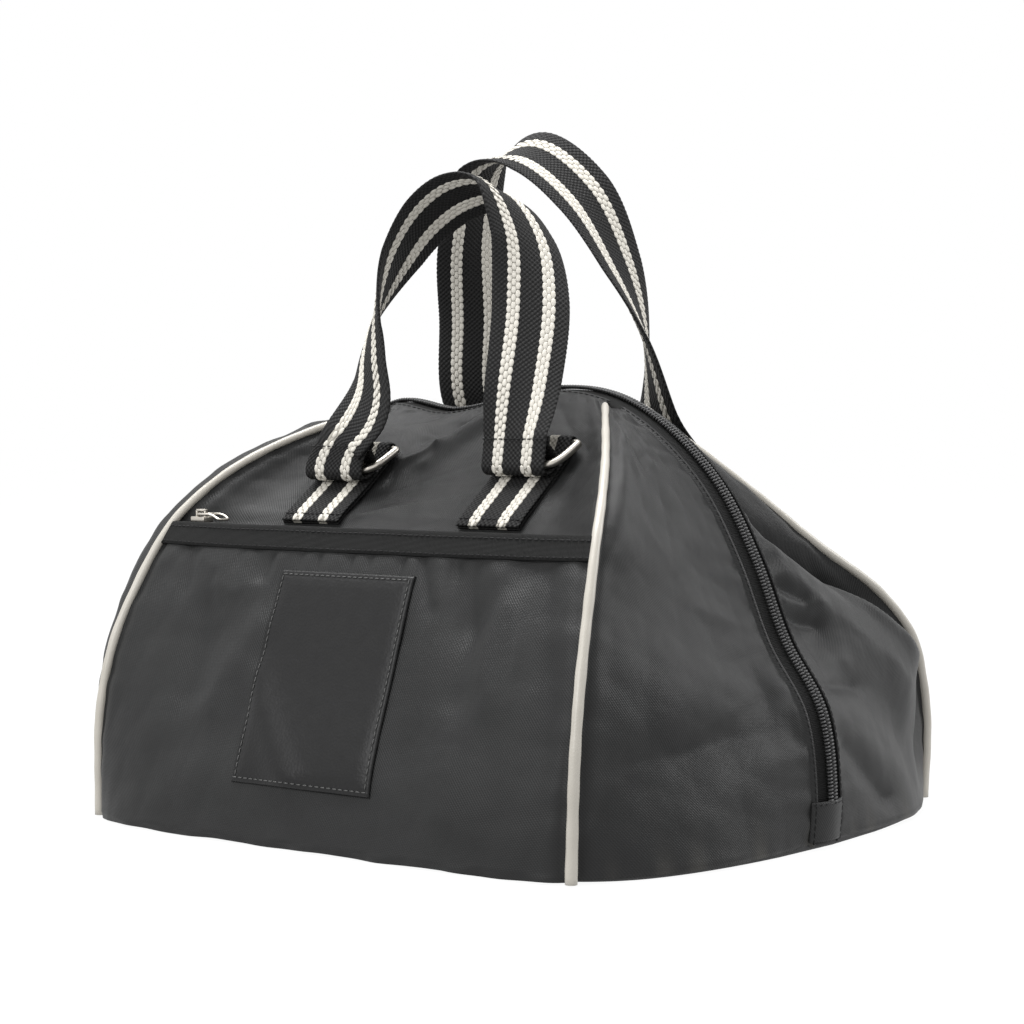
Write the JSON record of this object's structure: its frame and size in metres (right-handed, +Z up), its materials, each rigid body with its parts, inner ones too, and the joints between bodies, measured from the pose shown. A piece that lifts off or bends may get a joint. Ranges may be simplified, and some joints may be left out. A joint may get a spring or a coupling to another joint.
{
  "type": "riding helmet bag",
  "caption": "Soft zip-top carry bag for a riding helmet, with a zipped front pocket, a leather patch, pale piping and striped webbing handles on D-rings.",
  "frame": {"origin": "on the floor under the middle of the main zip, in the plane of the base's underside", "axes": "+X to the right along the front, -Y out of the front where the pocket is, +Z up"},
  "size_m": [0.3243, 0.2984, 0.2978],
  "materials": {
    "nylon": "charcoal twill nylon with a soft sheen",
    "base_cloth": "dull black cloth",
    "piping": "smooth cream cord covering",
    "ribbon": "black woven tape",
    "coil": "black nylon coil",
    "webbing": "black webbing with pale woven stripes",
    "leather": "fine-grained black leather",
    "metal": "satin nickel"
  },
  "bodies": {
    "bag": {"base": "base_cloth", "front_panel": "nylon", "back_panel": "nylon", "gusset_front_right": "nylon", "gusset_front_left": "nylon", "gusset_back_right": "nylon", "gusset_back_left": "nylon", "piping_front_right": "piping", "piping_front_left": "piping", "piping_back_right": "piping", "piping_back_left": "piping", "zip_tape_front": "ribbon", "zip_tape_back": "ribbon", "zip_chain": "coil", "zip_slider": "metal", "zip_end_right": "nylon", "zip_end_left": "nylon", "pocket": "nylon", "pocket_binding": "ribbon", "pocket_zip_tape": "ribbon", "pocket_zip_chain": "coil", "pocket_slider": "metal", "patch": "leather", "tab_front_right": "webbing", "tab_front_left": "webbing", "tab_back_right": "webbing", "tab_back_left": "webbing", "ring_front_right": "metal", "ring_front_left": "metal", "ring_back_right": "metal", "ring_back_left": "metal", "handle_front": "webbing", "handle_back": "webbing"},
    "pocket_pull": {"pocket_pull": "metal"}
  },
  "joints": [
    {"name": "pocket_pull_turn", "type": "hinge", "parent": "bag", "child": "pocket_pull", "pos_m": [-0.1, -0.08877, 0.12857], "axis": [0, -1, 0], "range_deg": [0, 110]}
  ]
}
